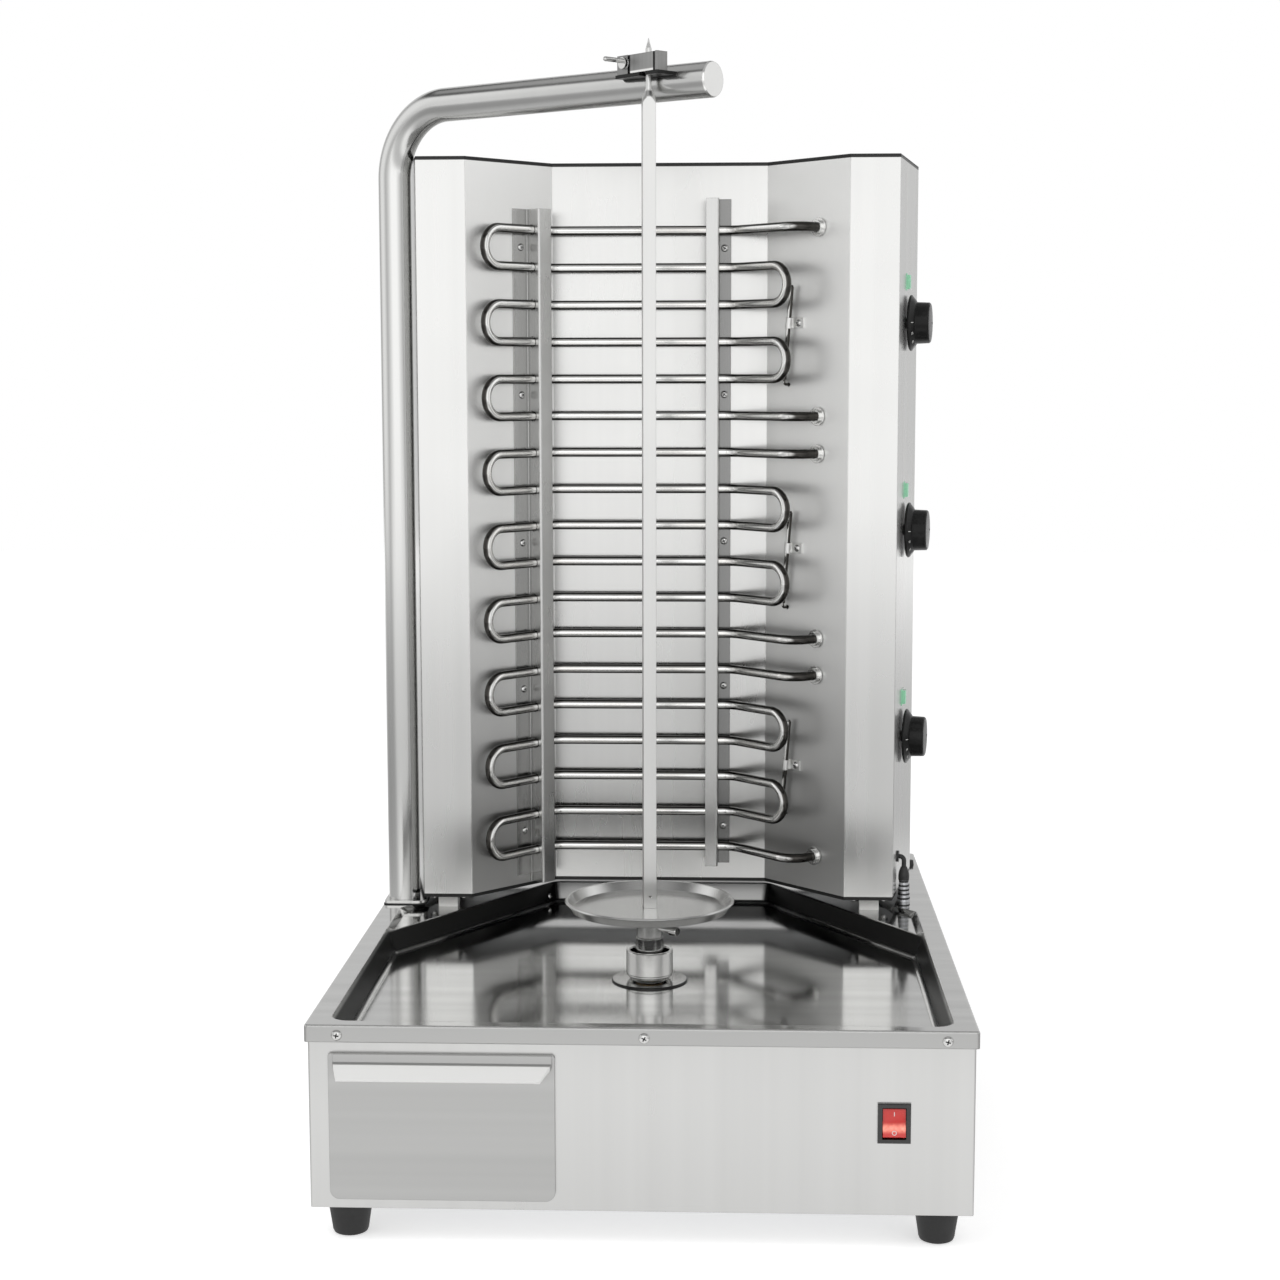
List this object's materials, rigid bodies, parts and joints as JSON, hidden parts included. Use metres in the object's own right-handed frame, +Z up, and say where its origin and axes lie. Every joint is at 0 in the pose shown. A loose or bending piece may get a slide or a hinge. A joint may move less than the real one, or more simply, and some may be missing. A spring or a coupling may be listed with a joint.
{
  "type": "vertical skewer grill",
  "caption": "Electric vertical skewer grill: drip-pan base with drawer and rocker switch, heated cabinet with dial knobs, motor-driven skewer with plate and top bearing arm.",
  "frame": {"origin": "on the ground under the middle of the bounding box", "axes": "+X to the right seen from the front, +Y to the back, +Z up; the drawer, switch and open side of the cabinet face -Y"},
  "size_m": [0.475, 0.6076, 0.87],
  "materials": {
    "brushed_stainless": "satin brushed",
    "polished_stainless": "polished",
    "pan_stainless": "bright rolled",
    "heater_tube": "satin grey",
    "zinc_steel": "zinc plated",
    "screw_steel": "bright",
    "block_aluminium": "machined",
    "motor_paint": "satin",
    "knob_black": "satin moulded",
    "switch_black": "gloss moulded",
    "rocker_red": "translucent gloss",
    "pilot_green": "translucent gloss",
    "gland_black": "moulded",
    "terminal_nylon": "natural nylon",
    "rubber_black": "matt",
    "bead_black": "matt",
    "insulator_white": "glazed",
    "bush_bronze": "turned"
  },
  "bodies": {
    "base": {"base_shell": "brushed_stainless", "base_bottom": "zinc_steel", "tray_pan": "pan_stainless", "tray_screws": "screw_steel", "feet": "rubber_black", "foot_screws": "screw_steel", "drawer_runners": "zinc_steel", "motor_bracket": "zinc_steel", "gearmotor": "motor_paint", "gearmotor_screws": "screw_steel", "hub_flange": "polished_stainless", "hub_bush": "bush_bronze", "switch_body": "switch_black", "terminal_block": "terminal_nylon", "mains_gland": "gland_black", "mast_gasket": "rubber_black", "mast_plate": "polished_stainless", "mast_screws": "screw_steel", "mast_tube": "polished_stainless", "mast_cap": "brushed_stainless", "top_yoke": "brushed_stainless", "reflector": "brushed_stainless", "cabinet_shell": "brushed_stainless", "cabinet_gaskets": "bead_black", "top_cover": "brushed_stainless", "bottom_cover": "zinc_steel", "cabinet_screws": "screw_steel", "support_blocks": "insulator_white", "support_bolts": "screw_steel", "rail_left": "brushed_stainless", "rail_right": "brushed_stainless", "element_collars": "heater_tube", "reflector_screws": "screw_steel", "sensor_bulbs": "heater_tube", "sensor_clips": "brushed_stainless", "thermostats": "gland_black", "pilot_lights": "pilot_green", "jumper_cable": "rubber_black", "cable_sleeve": "zinc_steel", "cable_grips": "gland_black", "element_1": "heater_tube", "element_2": "heater_tube", "element_3": "heater_tube"},
    "rocker": {"switch_rocker": "rocker_red"},
    "drawer": {"drawer_box": "brushed_stainless", "drawer_front": "brushed_stainless"},
    "drive": {"drive_shaft": "polished_stainless", "drive_cup": "polished_stainless"},
    "skewer": {"skewer_foot": "polished_stainless", "skewer_bar": "brushed_stainless"},
    "plate": {"skewer_plate": "polished_stainless"},
    "clamp_screw": {"plate_screw": "polished_stainless"},
    "top_block": {"bearing_block": "block_aluminium"},
    "lock": {"lock_pin": "polished_stainless"},
    "knob_upper": {"knob_1": "knob_black", "spindle_1": "screw_steel"},
    "knob_middle": {"knob_2": "knob_black", "spindle_2": "screw_steel"},
    "knob_lower": {"knob_3": "knob_black", "spindle_3": "screw_steel"}
  },
  "joints": [
    {"name": "rocker_hinge", "type": "hinge", "parent": "base", "child": "rocker", "pos_m": [0.1784, -0.2875, 0.0965], "axis": [1, 0, 0], "range_deg": [0, 14]},
    {"name": "drawer_slide", "type": "slide", "parent": "base", "child": "drawer", "axis": [0, -1, 0], "range_m": [0, 0.3]},
    {"name": "drive_turn", "type": "hinge", "parent": "base", "child": "drive", "pos_m": [-0.0008, -0.088, 0], "axis": [0, 0, 1], "continuous": true},
    {"name": "skewer_lift", "type": "slide", "parent": "drive", "child": "skewer", "axis": [0, 0, 1], "range_m": [0, 0.01]},
    {"name": "plate_lift", "type": "slide", "parent": "skewer", "child": "plate", "axis": [0, 0, 1], "range_m": [0, 0.1]},
    {"name": "clamp_screw_turn", "type": "hinge", "parent": "plate", "child": "clamp_screw", "pos_m": [-0.0008, -0.088, 0.185], "axis": [0.8191, -0.5736, 0], "range_deg": [-180, 180]},
    {"name": "top_block_lift", "type": "slide", "parent": "base", "child": "top_block", "axis": [0, 0, 1], "range_m": [0, 0.02]},
    {"name": "lock_turn", "type": "hinge", "parent": "base", "child": "lock", "pos_m": [-0.01497, -0.07333, 0.853], "axis": [0.7193, 0.6947, 0], "range_deg": [0, 180]},
    {"name": "knob_upper_turn", "type": "hinge", "parent": "base", "child": "knob_upper", "pos_m": [0.21112, 0.118, 0.6615], "axis": [0.9807, -0.1956, 0], "range_deg": [-290, 0]},
    {"name": "knob_middle_turn", "type": "hinge", "parent": "base", "child": "knob_middle", "pos_m": [0.21112, 0.118, 0.485], "axis": [0.9807, -0.1956, 0], "range_deg": [-290, 0]},
    {"name": "knob_lower_turn", "type": "hinge", "parent": "base", "child": "knob_lower", "pos_m": [0.21112, 0.118, 0.3054], "axis": [0.9807, -0.1956, 0], "range_deg": [-290, 0]}
  ]
}
